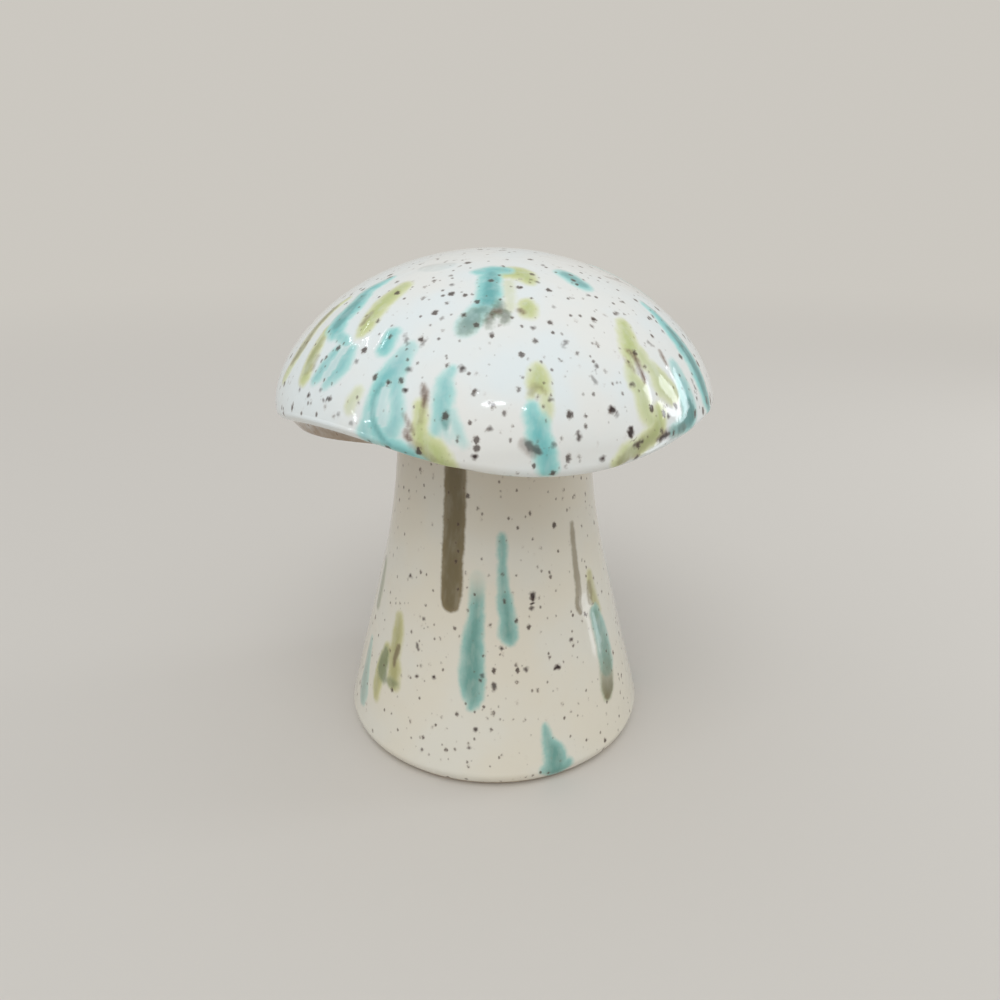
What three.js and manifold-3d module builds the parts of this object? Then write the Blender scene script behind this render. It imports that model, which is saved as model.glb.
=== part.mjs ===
// A glazed ceramic mushroom: a hollow cap and a hollow stem, cast apart and joined at the neck with slip.
// Millimetres, +Z up. The foot stands on z = 0 with the stem's axis on Z, and the front faces -Y.
import * as THREE from "three";
import { mergeVertices } from "three/addons/utils/BufferGeometryUtils.js";
import Module from "manifold-3d";

const wasm = await Module();
wasm.setup();

// Outside of the cap
const seatHeight = 75.5; // the flat under the cap that beds on the neck
const seatMargin = 1.5; // how far that flat runs out past the neck
const capHeight = 38; // from the seat to the top of the dome
const capDiameter = 97.6;
const rimRise = 6.5; // from the seat to the cap's widest ring, before the rim's waves
const domePeak = 1.2; // 1 makes the dome half an ellipse, more makes its shoulders straighter
const edgeTuck = 2.6; // how far the rim turns in below its widest ring
const edgeDrop = 2.4; // how far it turns down there
const undersideRise = 0.45; // 1 makes the underside a straight cone, less makes it flatter towards the rim
const bellyInset = 4.4; // from the cap's widest ring in to the underside's outer ring
const bellyDrop = 0.2; // how far that outer ring hangs below the rim's edge

// Waves of the rim's edge and of the underside's outer ring. A crest is an azimuth in degrees from the
// front, towards +X.
const edgeWaves = [
  { lobes: 1, rise: 0.8, crest: 110 },
  { lobes: 2, rise: 1.1, crest: -60 },
  { lobes: 3, rise: 1.8, crest: -35 },
  { lobes: 4, rise: 0.9, crest: 46 },
];
const bellyWaves = [{ lobes: 3, rise: 1.6, crest: -16 }];
const waveReach = 14.6; // how far in from the widest ring the waves draw the dome up or down

// Outside of the stem
const footDiameter = 76.3; // where the wall meets the table, before the foot is rounded
const neckDiameter = 45.5;
const wallLean = 14.5; // degrees that the wall leans in where it is straight
const straightHeight = 40; // where the wall starts to bend upright
const footRound = 3.6;
const footRingWidth = 6;
const footRecess = 1.5;

// Casting walls, the vent for firing and the joint
const capWall = 4.5;
const hollowRimAngle = 82; // degrees from the top of the dome, where its hollow meets the hollow's floor
const stemWall = 4.5;
const floorThickness = 5;
const ventDiameter = 6;
const spigotDiameter = 34;
const spigotWall = 4;
const spigotEnd = 2; // how far the spigot stands above the cap's hollow floor
const socketClearance = 0.3;
const slipThickness = 1.2;
const slipBead = 0.9; // how far the slip is squeezed out past the neck

// Fineness of the surfaces
const turnSteps = 64;
const domeSteps = 20;
const hollowSteps = 12;
const edgeSteps = 5;
const undersideSteps = 9;
const lipSteps = 4;
const stemSteps = 16;
const beadSteps = 6;
const weldDistance = 1e-4;
const cutPast = 1; // how far a cutting shape runs past the face that it cuts

const capRadius = capDiameter / 2;
const edgeRadius = capRadius - edgeTuck;
const footRadius = footDiameter / 2;
const neckRadius = neckDiameter / 2;
const spigotRadius = spigotDiameter / 2;
const boreRadius = spigotRadius - spigotWall;
const socketRadius = spigotRadius + socketClearance;
const seatRadius = neckRadius + seatMargin;
const bellyRadius = capRadius - bellyInset;
const overallHeight = seatHeight + capHeight;
const rimHeight = seatHeight + rimRise;
const shoulderHeight = seatHeight - slipThickness;
const hollowFloor = seatHeight + capWall;
const stemFloor = footRecess + floorThickness;
const recessRadius = footRadius - footRound - footRingWidth;

const { lerp: mix, smoothstep, degToRad: radians } = THREE.MathUtils;

// Evenly spaced shares from 0 to 1, both ends included.
function shares(steps) {
  return Array.from({ length: steps + 1 }, (_, step) => step / steps);
}

// A profile of [radius, height] points, from the axis or round a ring, turned about Z.
function turn(profile) {
  const points = profile.map(([radius, height]) => new THREE.Vector2(radius, height));
  return new THREE.LatheGeometry(points, turnSteps).rotateX(Math.PI / 2);
}

function toSolid(geometry) {
  geometry.deleteAttribute("normal");
  geometry.deleteAttribute("uv");
  const welded = mergeVertices(geometry, weldDistance);
  const corners = Array.from(welded.index.array);
  const triVerts = [];
  for (let i = 0; i < corners.length; i += 3) {
    const triangle = corners.slice(i, i + 3);
    if (new Set(triangle).size === triangle.length) triVerts.push(...triangle);
  }
  const mesh = new wasm.Mesh({
    numProp: 3,
    vertProperties: welded.attributes.position.array,
    triVerts: Uint32Array.from(triVerts),
  });
  return new wasm.Manifold(mesh);
}

function toMesh(name, solid, look) {
  const { numProp, vertProperties, triVerts } = solid.getMesh();
  const geometry = new THREE.BufferGeometry();
  geometry.setAttribute("position", new THREE.BufferAttribute(vertProperties, numProp));
  geometry.setIndex(new THREE.BufferAttribute(triVerts, 1));
  geometry.computeVertexNormals();
  const mesh = new THREE.Mesh(geometry, new THREE.MeshStandardMaterial(look));
  mesh.name = name;
  return mesh;
}

// A round hole along the axis.
function hole(radius, bottom, top) {
  return toSolid(turn([[0, bottom], [radius, bottom], [radius, top], [0, top]]));
}

// A point of a dome at an angle in radians from its top.
function domePoint(angle, radius, top) {
  return [radius * Math.sin(angle), mix(rimHeight, top, Math.cos(angle) ** domePeak)];
}

// Outer radius of the dome at a height. Below its widest ring it goes straight down.
function domeRadius(height) {
  const share = Math.max(0, (height - rimHeight) / (overallHeight - rimHeight));
  return capRadius * Math.sin(Math.acos(share ** (1 / domePeak)));
}

// Height of some waves at an azimuth in radians.
function waveAt(waves, azimuth) {
  return waves.reduce(
    (sum, wave) => sum + wave.rise * Math.cos(wave.lobes * (azimuth - radians(wave.crest))),
    0,
  );
}

// The waves lift and lower the rim and fade out towards the top of the dome and the neck.
// The dome's outline stays as it is: its points slide along it.
function waveRim(geometry) {
  const position = geometry.attributes.position;
  for (let i = 0; i < position.count; i += 1) {
    const [x, y, z] = [position.getX(i), position.getY(i), position.getZ(i)];
    const radius = Math.hypot(x, y);
    const azimuth = Math.atan2(x, -y);
    const edgeWave = waveAt(edgeWaves, azimuth);
    if (z >= rimHeight) {
      const share = smoothstep(radius, capRadius - waveReach, capRadius);
      const widen = share > 0 ? domeRadius(z + share * edgeWave) / radius : 1;
      position.setXYZ(i, x * widen, y * widen, z + share * edgeWave);
    } else {
      const bellyWave = waveAt(bellyWaves, azimuth) * smoothstep(radius, seatRadius, bellyRadius);
      position.setZ(i, z + mix(bellyWave, edgeWave, smoothstep(radius, bellyRadius, edgeRadius)));
    }
  }
  return geometry;
}

function makeCap() {
  const edgeHeight = rimHeight - edgeDrop;
  const bellyHeight = edgeHeight - bellyDrop;
  const underside = shares(undersideSteps).map((share) => [
    mix(seatRadius, bellyRadius, share),
    mix(seatHeight, bellyHeight, share ** undersideRise),
  ]);
  const lip = shares(lipSteps).slice(1).map((share) => [
    mix(bellyRadius, edgeRadius, share),
    mix(bellyHeight, edgeHeight, share ** 2),
  ]);
  const edge = shares(edgeSteps).slice(1, -1).map((share) => {
    const angle = (share * Math.PI) / 2;
    return [edgeRadius + edgeTuck * Math.sin(angle), rimHeight - edgeDrop * Math.cos(angle)];
  });
  const dome = shares(domeSteps).map((share) =>
    domePoint(((1 - share) * Math.PI) / 2, capRadius, overallHeight),
  );
  const body = toSolid(waveRim(turn([[0, seatHeight], ...underside, ...lip, ...edge, ...dome])));
  const hollowDome = shares(hollowSteps).map((share) =>
    domePoint((1 - share) * radians(hollowRimAngle), capRadius - capWall, overallHeight - capWall),
  );
  const hollow = toSolid(turn([[0, hollowFloor], [seatRadius, hollowFloor], ...hollowDome]));
  return body.subtract(hollow).subtract(hole(socketRadius, seatHeight - cutPast, hollowFloor + cutPast));
}

// Outer radius of the stem at a height: a straight cone that bends upright towards the neck.
function stemRadius(height) {
  const lean = Math.tan(radians(wallLean));
  const bend = (neckRadius - footRadius + lean * shoulderHeight) / (shoulderHeight - straightHeight) ** 2;
  return footRadius - lean * height + bend * Math.max(0, height - straightHeight) ** 2;
}

function makeStem() {
  const spigotTop = hollowFloor + spigotEnd;
  const round = shares(edgeSteps).map((share) => {
    const angle = (share * Math.PI) / 2;
    const inset = footRound * (1 - Math.sin(angle));
    return [stemRadius(footRound) - inset, footRound * (1 - Math.cos(angle))];
  });
  const wall = shares(stemSteps).slice(1).map((share) => {
    const height = mix(footRound, shoulderHeight, share);
    return [stemRadius(height), height];
  });
  const spigot = [[spigotRadius, shoulderHeight], [spigotRadius, spigotTop], [0, spigotTop]];
  const body = toSolid(turn([[0, 0], ...round, ...wall, ...spigot]));
  const hollowTop = shoulderHeight - stemWall - (neckRadius - stemWall - boreRadius);
  const hollowWall = shares(hollowSteps).map((share) => {
    const height = mix(stemFloor, hollowTop, share);
    return [stemRadius(height) - stemWall, height];
  });
  const bore = [[boreRadius, shoulderHeight - stemWall], [boreRadius, spigotTop + cutPast]];
  const hollow = toSolid(turn([[0, stemFloor], ...hollowWall, ...bore, [0, spigotTop + cutPast]]));
  return body
    .subtract(hollow)
    .subtract(hole(recessRadius, -cutPast, footRecess))
    .subtract(hole(ventDiameter / 2, 0, stemFloor + cutPast));
}

// The slip fills the joint between the neck's shoulder and the cap's seat, with a rounded outer edge.
function makeNeckSlip() {
  const bead = shares(beadSteps).map((share) => [
    neckRadius + slipBead * Math.sin(share * Math.PI),
    mix(shoulderHeight, seatHeight, share),
  ]);
  return toSolid(turn([[socketRadius, shoulderHeight], ...bead, [socketRadius, seatHeight],
    [socketRadius, shoulderHeight]]));
}

const glaze = { color: 0xe6e2d4, roughness: 0.12, metalness: 0 };
const slip = { color: 0xd8ccb4, roughness: 0.6, metalness: 0 };

const mushroom = new THREE.Group();
mushroom.name = "mushroom_ornament";
mushroom.add(
  toMesh("cap", makeCap(), glaze),
  toMesh("stem", makeStem(), glaze),
  toMesh("neck_slip", makeNeckSlip(), slip),
);

export default mushroom;
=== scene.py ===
from functools import partial
import math

import bpy
import numpy as np
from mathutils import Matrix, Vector


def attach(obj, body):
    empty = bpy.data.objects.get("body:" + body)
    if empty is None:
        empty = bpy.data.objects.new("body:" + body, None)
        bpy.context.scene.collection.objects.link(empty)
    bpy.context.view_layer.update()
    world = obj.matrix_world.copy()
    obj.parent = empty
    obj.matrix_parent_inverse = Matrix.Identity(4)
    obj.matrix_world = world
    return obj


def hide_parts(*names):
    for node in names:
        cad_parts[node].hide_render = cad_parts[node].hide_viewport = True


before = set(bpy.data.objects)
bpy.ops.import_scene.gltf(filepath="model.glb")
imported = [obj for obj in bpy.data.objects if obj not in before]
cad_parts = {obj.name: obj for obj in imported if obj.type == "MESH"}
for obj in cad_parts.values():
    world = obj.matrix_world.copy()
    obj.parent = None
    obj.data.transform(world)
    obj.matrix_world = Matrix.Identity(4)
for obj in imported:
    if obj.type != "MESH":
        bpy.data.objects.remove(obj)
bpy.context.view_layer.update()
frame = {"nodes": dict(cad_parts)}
print("frame loaded:", ", ".join(frame["nodes"]))

mm = 0.001
weldGap = 1e-6  # metres
bareLimit = 0.5  # the rim's waves move what is less bare than this
scene = bpy.context.scene


# Small helpers for node trees, shader and geometry alike

def feed(tree, socket, value):
    if isinstance(value, bpy.types.NodeSocket):
        tree.links.new(value, socket)
    else:
        socket.default_value = value


def addNode(tree, kind, inputs=None, **settings):
    node = tree.nodes.new(kind)
    for name, value in settings.items():
        setattr(node, name, value)
    for key, value in (inputs or {}).items():
        feed(tree, node.inputs[key], value)
    return node


def calc(tree, operation, *values):
    node = addNode(tree, "ShaderNodeMath", operation=operation)
    for socket, value in zip(node.inputs, values):
        feed(tree, socket, value)
    return node.outputs[0]


def vectorCalc(tree, operation, vector, other):
    key = "Scale" if operation == "SCALE" else 1
    return addNode(tree, "ShaderNodeVectorMath", {0: vector, key: other}, operation=operation).outputs[0]


def vectorLength(tree, vector):
    return addNode(tree, "ShaderNodeVectorMath", {0: vector}, operation="LENGTH").outputs["Value"]


def smoothShare(tree, value, low, high):
    return addNode(tree, "ShaderNodeMapRange", {"Value": value, "From Min": low, "From Max": high},
                   interpolation_type="SMOOTHSTEP").outputs["Result"]


def blendValue(tree, share, low, high):
    return calc(tree, "MULTIPLY_ADD", share, calc(tree, "SUBTRACT", high, low), low)


# Sums, soft steps and blends in one tree: times, plus, minus, timesPlus, ease and blend
def toolsIn(tree):
    sums = [partial(calc, tree, operation) for operation in ("MULTIPLY", "ADD", "SUBTRACT", "MULTIPLY_ADD")]
    return (*sums, partial(smoothShare, tree), partial(blendValue, tree))


def tintOver(tree, below, above, share):
    return addNode(tree, "ShaderNodeMix", {"Factor": share, "A": below, "B": above},
                   data_type="RGBA").outputs["Result"]


def noise(tree, vector, scale, detail):
    return addNode(tree, "ShaderNodeTexNoise", {"Vector": vector, "Scale": scale, "Detail": detail}).outputs


# 1 for rays that see a surface directly, in a mirror image or through glass
def seenShare(tree):
    path = addNode(tree, "ShaderNodeLightPath").outputs
    seen = calc(tree, "MAXIMUM", path["Is Camera Ray"], path["Is Glossy Ray"])
    return calc(tree, "MAXIMUM", seen, path["Is Transmission Ray"])


def newMaterial(name):
    material = bpy.data.materials.new(name)
    material.use_nodes = True
    material.node_tree.nodes.clear()
    return material


# Linear colour from 8-bit sRGB
def srgb(red, green, blue):
    parts = [part / 255 for part in (red, green, blue)]
    linear = [part / 12.92 if part <= 0.04045 else ((part + 0.055) / 1.055) ** 2.4 for part in parts]
    return (*linear, 1)


# Geometry Nodes: a profile turned about Z, with the cap's rim waves and a slight unevenness of the clay

waveWords = ("Rise", "Lobes", "Crest")
capLengths = {  # inputs of the cap's tree alone, and what capForm calls them
    "Cap Radius": "capRadius", "Wave Reach": "waveReach", "Rim Height": "rim", "Top Height": "top",
    "Seat Radius": "seatRadius", "Belly Radius": "bellyRadius", "Edge Radius": "edgeRadius",
}


def addInputs(tree, kind, *names):
    for name in names:
        tree.interface.new_socket(name, in_out="INPUT", socket_type="NodeSocket" + kind)


def sumOfWaves(tree, azimuth, inputs, count, title):
    total = 0.0
    for number in range(1, count + 1):
        rise, lobes, crest = (inputs[f"{title} {word} {number}"] for word in waveWords)
        turned = calc(tree, "MULTIPLY", lobes, calc(tree, "SUBTRACT", azimuth, crest))
        total = calc(tree, "MULTIPLY_ADD", rise, calc(tree, "COSINE", turned), total)
    return total


def buildTurnTree(name, edgeCount=0, bellyCount=0):
    tree = bpy.data.node_groups.new(name, "GeometryNodeTree")
    addInputs(tree, "Object", "Profile")
    addInputs(tree, "Material", "Finish")
    addInputs(tree, "Int", "Columns")
    addInputs(tree, "Float", "Unevenness", "Uneven Scale", "Seed")
    for title, count in (("Edge", edgeCount), ("Belly", bellyCount)):
        for number in range(1, count + 1):
            addInputs(tree, "Float", *(f"{title} {word} {number}" for word in waveWords))
    if edgeCount:
        addInputs(tree, "Float", "Dome Peak", *capLengths)
    tree.interface.new_socket("Geometry", in_out="OUTPUT", socket_type="NodeSocketGeometry")
    times, plus, minus, timesPlus, ease, blend = toolsIn(tree)
    given = addNode(tree, "NodeGroupInput").outputs
    columns = given["Columns"]

    def position():
        return addNode(tree, "GeometryNodeInputPosition").outputs[0]

    def bareShare():
        node = addNode(tree, "GeometryNodeInputNamedAttribute", {"Name": "bare"}, data_type="FLOAT")
        return node.outputs["Attribute"]

    # a flat grid, one column for each step of the turn and one row for each profile point
    profile = addNode(tree, "GeometryNodeObjectInfo", {"Object": given["Profile"]}).outputs["Geometry"]
    rows = addNode(tree, "GeometryNodeAttributeDomainSize", {"Geometry": profile}).outputs["Point Count"]
    lastRow = minus(rows, 1)
    grid = addNode(tree, "GeometryNodeMeshGrid", {
        "Size X": columns, "Size Y": lastRow, "Vertices X": plus(columns, 1), "Vertices Y": rows,
    }).outputs["Mesh"]
    flat = addNode(tree, "ShaderNodeSeparateXYZ", {"Vector": position()}).outputs
    column = calc(tree, "ROUND", timesPlus(columns, 0.5, flat["X"]))
    row = calc(tree, "ROUND", timesPlus(lastRow, 0.5, flat["Y"]))
    azimuth = times(calc(tree, "DIVIDE", column, columns), math.tau)

    def readProfile(kind, value):
        return addNode(tree, "GeometryNodeSampleIndex", {"Geometry": profile, "Value": value, "Index": row},
                       data_type=kind, domain="POINT", clamp=True).outputs[0]

    bare = readProfile("FLOAT", bareShare())
    place = readProfile("FLOAT_VECTOR", position())
    point = addNode(tree, "ShaderNodeSeparateXYZ", {"Vector": place}).outputs
    radius, height = point["X"], point["Z"]

    if edgeCount:
        edgeWave = sumOfWaves(tree, azimuth, given, edgeCount, "Edge")
        bellyWave = sumOfWaves(tree, azimuth, given, bellyCount, "Belly")
        capRadius, rim, top = given["Cap Radius"], given["Rim Height"], given["Top Height"]
        # the dome's points slide along its outline
        reach = minus(capRadius, given["Wave Reach"])
        lifted = timesPlus(ease(radius, reach, capRadius), edgeWave, height)
        share = calc(tree, "MAXIMUM", calc(tree, "DIVIDE", minus(lifted, rim), minus(top, rim)), 0.0)
        cosine = calc(tree, "POWER", share, calc(tree, "DIVIDE", 1.0, given["Dome Peak"]))
        domeRadius = times(capRadius, calc(tree, "SINE", calc(tree, "ARCCOSINE", cosine)))
        # the underside follows its own waves and meets the edge's
        inner = times(bellyWave, ease(radius, given["Seat Radius"], given["Belly Radius"]))
        outer = ease(radius, given["Belly Radius"], given["Edge Radius"])
        hung = plus(height, blend(outer, inner, edgeWave))
        onDome = calc(tree, "GREATER_THAN", height, minus(rim, weldGap))
        glazedPoint = calc(tree, "LESS_THAN", bare, bareLimit)
        waved = blend(onDome, hung, lifted)
        slid = times(onDome, calc(tree, "GREATER_THAN", radius, reach))
        radius = blend(times(slid, glazedPoint), radius, domeRadius)
        height = blend(glazedPoint, height, waved)

    turned = addNode(tree, "ShaderNodeCombineXYZ", {
        "X": times(radius, calc(tree, "SINE", azimuth)),
        "Y": times(times(radius, calc(tree, "COSINE", azimuth)), -1.0),
        "Z": height,
    }).outputs[0]
    made = addNode(tree, "GeometryNodeStoreNamedAttribute", {"Geometry": grid, "Name": "bare", "Value": bare},
                   data_type="FLOAT", domain="POINT").outputs[0]

    def nextStep(kind, **inputs):
        return addNode(tree, "GeometryNode" + kind, dict(inputs, Geometry=made)).outputs[0]

    made = nextStep("SetPosition", Position=turned)
    made = nextStep("MergeByDistance", Distance=weldGap)
    # hand-finished clay is never quite true, so the surface dips in a little here and there
    dips = addNode(tree, "ShaderNodeTexNoise", {
        "Vector": position(), "W": given["Seed"], "Scale": given["Uneven Scale"], "Detail": 1.0,
    }, noise_dimensions="4D").outputs[0]
    depth = times(times(dips, given["Unevenness"]), minus(1.0, bareShare()))
    normal = addNode(tree, "GeometryNodeInputNormal").outputs[0]
    made = nextStep("SetPosition", Offset=vectorCalc(tree, "SCALE", normal, times(depth, -1.0)))
    made = nextStep("SetShadeSmooth")
    made = nextStep("RealizeInstances")
    made = nextStep("SetMaterial", Material=given["Finish"])
    addNode(tree, "NodeGroupOutput", {"Geometry": made})
    return tree


# What every turned piece gives its tree
def wareValues(form, finish):
    return {
        "Columns": form["columns"], "Unevenness": form["unevenness"] * mm,
        "Uneven Scale": form["unevenScale"], "Seed": form["seed"], "Finish": finish,
    }


# A profile is a list of (radius, height, bare) in millimetres, bare being 1 on unglazed clay and lower on the
# cap's underside and lip, where it sets their painted shade
def turnPiece(name, profile, tree, values):
    line = bpy.data.meshes.new(name + "Profile")
    line.from_pydata([(radius * mm, 0, height * mm) for radius, height, bare in profile],
                     [(i, i + 1) for i in range(len(profile) - 1)], [])
    bareValues = [bare for radius, height, bare in profile]
    line.attributes.new("bare", "FLOAT", "POINT").data.foreach_set("value", bareValues)
    guide = bpy.data.objects.new(name + "Profile", line)
    scene.collection.objects.link(guide)
    piece = bpy.data.objects.new(name, bpy.data.meshes.new(name))
    scene.collection.objects.link(piece)
    modifier = piece.modifiers.new("Turn", "NODES")
    modifier.node_group = tree
    given = dict(values, Profile=guide)
    for item in tree.interface.items_tree:
        if item.in_out == "INPUT" and item.name in given:
            modifier[item.identifier] = given[item.name]
    depsgraph = bpy.context.evaluated_depsgraph_get()
    made = bpy.data.meshes.new_from_object(piece.evaluated_get(depsgraph),
                                           preserve_all_data_layers=True, depsgraph=depsgraph)
    piece.modifiers.clear()
    piece.data = made
    made.name = name
    bpy.data.objects.remove(guide)
    bpy.data.meshes.remove(line)
    print(name, "turned:", len(made.vertices), "points")
    return piece


def shares(steps):
    return [step / steps for step in range(steps + 1)]


def mix(low, high, share):
    return low + (high - low) * share


# Glaze runs: each is a soft-edged path of some width on the ware. Lengths are in millimetres.
runForm = {
    "tints": ("lime", "turquoise", "teal", "moss", "brown", "iron"), "fineTints": ("iron",),
    "pathSteps": 5, "leastWidth": 0.1, "leastSquare": 1e-9, "farAway": 6.0, "fineSlack": 0.45,
    "raiseFrom": 0.8, "raiseOver": 2.6,
}


# A smooth curve through the points, or a straight line where there are only two
def smoothPath(points):
    points = np.array(points, float)
    if len(points) < 3:
        return points[[0, -1]]
    padded = np.vstack([2 * points[0] - points[1], points, 2 * points[-1] - points[-2]])
    path = []
    for i in range(1, len(padded) - 2):
        before, start, end, after = padded[i - 1:i + 3]
        for share in shares(runForm["pathSteps"])[:-1]:
            path.append(0.5 * (2 * start + (end - before) * share
                               + (2 * before - 5 * start + 4 * end - after) * share ** 2
                               + (3 * start - before - 3 * end + after) * share ** 3))
    return np.array(path + [points[-1]])


# How runs are drawn by chance for the side that isn't seen, in the manner of the seen ones. Widths are shares
# of the run's own, and a speck's size is its half width in millimetres.
drawForm = {
    "spacing": (0.2, 0.8), "steps": 5, "middle": 2, "coat": (0.8, 1.0), "bow": 0.5,
    "slimStart": 0.45, "swell": 0.55, "swellTurn": 2.7, "swellPower": 1.3,
    "coreCoat": (0.3, 0.6), "coreWidth": 0.45,
    "streakChance": 0.15, "limeStreakChance": 0.6, "streakAside": (0.8, 1.8), "streakWidth": 0.28,
    "streakCoat": (0.4, 0.9),
    "forkChance": 0.35, "forkSteps": 3, "forkWidth": 0.6, "forkTaper": 0.4, "forkCoat": 0.8,
    "smearChance": 0.25, "smearSpread": 0.4, "smearRise": 0.2, "smearWidths": (0.6, 0.5),
    "smearCoat": (0.5, 0.9), "speckSize": (0.3, 0.65), "speckCoat": (0.5, 1.0),
}


# A ring is a number of runs, where they start, how far they fall, how wide they swell, how far they waver
# and their tints
def drawRuns(seed, side, rings, specks):
    form = drawForm
    draw = np.random.default_rng(seed)
    runs = {tint: [] for tint in runForm["tints"]}
    for count, *spans, waver, tints in rings:
        for number in range(count):
            azimuth = mix(*side, (number + draw.uniform(*form["spacing"])) / count)
            start, fall, width = (draw.uniform(*span) for span in spans)
            lean, bow = draw.uniform(-waver, waver, 2)
            path = []
            for share in shares(form["steps"]):
                aside = lean * share + form["bow"] * bow * math.sin(math.pi * share)
                swell = form["swell"] * math.sin(form["swellTurn"] * share ** form["swellPower"])
                path.append((azimuth + aside, start + fall * share, width * (form["slimStart"] + swell)))
            tint = draw.choice(tints)
            runs[tint].append((draw.uniform(*form["coat"]), path))
            middle, foot = path[form["middle"]], path[-1]
            if tint == "turquoise":  # a deeper core
                core = [(turn, down, form["coreWidth"] * half) for turn, down, half in path[form["middle"]:]]
                runs["teal"].append((draw.uniform(*form["coreCoat"]), core))
            if draw.random() < form["limeStreakChance" if tint == "lime" else "streakChance"]:
                beside = draw.choice([-1, 1]) * draw.uniform(*form["streakAside"])
                streak = [(turn + beside, down, form["streakWidth"] * half)
                          for turn, down, half in path[form["middle"] - 1:form["middle"] + 2]]
                runs["brown"].append((draw.uniform(*form["streakCoat"]), streak))
            if draw.random() < form["forkChance"]:
                aside = draw.choice([-1, 1]) * waver
                branch = [(middle[0] + aside * share, mix(middle[1], foot[1], share),
                           form["forkWidth"] * width * (1 - form["forkTaper"] * share))
                          for share in shares(form["forkSteps"])]
                runs[tint].append((form["forkCoat"], branch))
            if draw.random() < form["smearChance"]:
                spread = form["smearSpread"] * waver
                left, right = (share * width for share in form["smearWidths"])
                smear = [(foot[0] - spread, foot[1], left),
                         (foot[0] + spread, mix(foot[1], middle[1], form["smearRise"]), right)]
                runs["moss"].append((draw.uniform(*form["smearCoat"]), smear))
    for number in range(specks["count"]):
        spot = (draw.uniform(*side), draw.uniform(*specks["span"]), draw.uniform(*form["speckSize"]))
        runs["iron"].append((draw.uniform(*form["speckCoat"]), [spot]))
    return runs


def readVectors(items, word):
    values = np.empty(len(items) * 3)
    items.foreach_get(word, values)
    return values.reshape(-1, 3)


# What each point of a piece needs to know of the nearest run of a tint: the gap to its edge in millimetres,
# negative inside it, and how strong its coat is. A fine tint also has its half width there and the way to its
# middle.
def layRuns(piece, runs, toPoint):
    mesh = piece.data
    spots = readVectors(mesh.vertices, "co") / mm
    gaps = {}
    for tint, paths in runs.items():
        nearest = np.full(len(spots), runForm["farAway"])
        halfWidth = np.zeros(len(spots))
        coat = np.ones(len(spots))
        reach = np.full(spots.shape, runForm["farAway"])
        for strength, points in paths:
            path = smoothPath(points)
            centres = np.array([toPoint(azimuth, down) for azimuth, down, width in path])
            widths = np.maximum(path[:, 2], runForm["leastWidth"])
            first, last = strength if isinstance(strength, tuple) else (strength, strength)
            coats = np.linspace(first, last, len(path))
            for i, (start, end) in enumerate(zip(centres[:-1], centres[1:])):
                along = end - start
                share = np.clip((spots - start) @ along / max(along @ along, runForm["leastSquare"]), 0, 1)
                away = start + share[:, None] * along - spots
                width = mix(widths[i], widths[i + 1], share)
                gap = np.linalg.norm(away, axis=1) - width
                closer = gap < nearest
                nearest[closer] = gap[closer]
                halfWidth[closer] = width[closer]
                coat[closer] = mix(coats[i], coats[i + 1], share[closer])
                reach[closer] = away[closer]
        field = {"Gap": nearest, "Coat": coat}
        if tint in runForm["fineTints"]:
            field["Width"] = halfWidth
            wayIn = mesh.attributes.new(tint + "Reach", "FLOAT_VECTOR", "POINT")
            wayIn.data.foreach_set("vector", reach.ravel())
        for word, values in field.items():
            mesh.attributes.new(tint + word, "FLOAT", "POINT").data.foreach_set("value", values)
        gaps[tint] = nearest
    return gaps


# The glaze between the runs lies a little lower than the runs, so the piece stays inside its own size
def raiseRuns(piece, gaps, relief):
    mesh = piece.data
    thick = np.zeros(len(mesh.vertices))
    for nearest in gaps.values():
        share = np.clip((runForm["raiseFrom"] - nearest) / runForm["raiseOver"], 0, 1)
        thick = np.maximum(thick, share * share * (3 - 2 * share))
    bare = np.empty(len(mesh.vertices), np.float32)
    mesh.attributes["bare"].data.foreach_get("value", bare)
    depth = relief * mm * (1 - thick) * (1 - bare)
    normals = readVectors(mesh.vertex_normals, "vector")
    spots = readVectors(mesh.vertices, "co") - depth[:, None] * normals
    mesh.vertices.foreach_set("co", spots.ravel())
    mesh.update()


# Glazed clay: a noise is its scale for a millimetre and its detail, a span is where a share goes from 0 to 1
glazeForm = {
    "cloud": (0.05, 3.0), "cloudSpan": (0.35, 0.65), "wander": (0.42, 3.0), "fray": (1.4, 0.5),
    "streak": (0.55, 3.0), "streakStretch": (1.0, 1.0, 0.3), "thinSpan": (0.25, 0.6), "coreStart": 0.4,
    "speckDetail": 2.0, "speckStretch": (1.0, 1.0, 0.75), "haloStart": -0.1, "haloStrength": 0.3,
    "grain": (3.0, 4.0), "grainSpan": (0.35, 0.7), "grainBump": 0.12, "clayRough": 0.85,
    "bareAndShadeWander": 0.2, "paintedShadeSpan": (0.05, 0.3), "paintedShadeStrength": 0.92, "bareFray": 0.2, "bareSpan": (0.4, 0.6),
    "gloss": (0.3, 2.0), "rough": (0.05, 0.12), "ripple": (0.35, 1.0), "rippleHeight": 0.05, "runEdge": 0.05,
    "ior": 1.52,
    "speckTone": srgb(62, 47, 42), "haloTone": srgb(150, 122, 98), "clay": srgb(214, 196, 168),
    # the last tone is a tan painted shade for the cap's underside and lip, warmed like a painted reflection
    # of a brown surrounding
    "clayDark": srgb(190, 168, 138), "paintedShadeTone": srgb(142, 114, 80),
}


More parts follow.
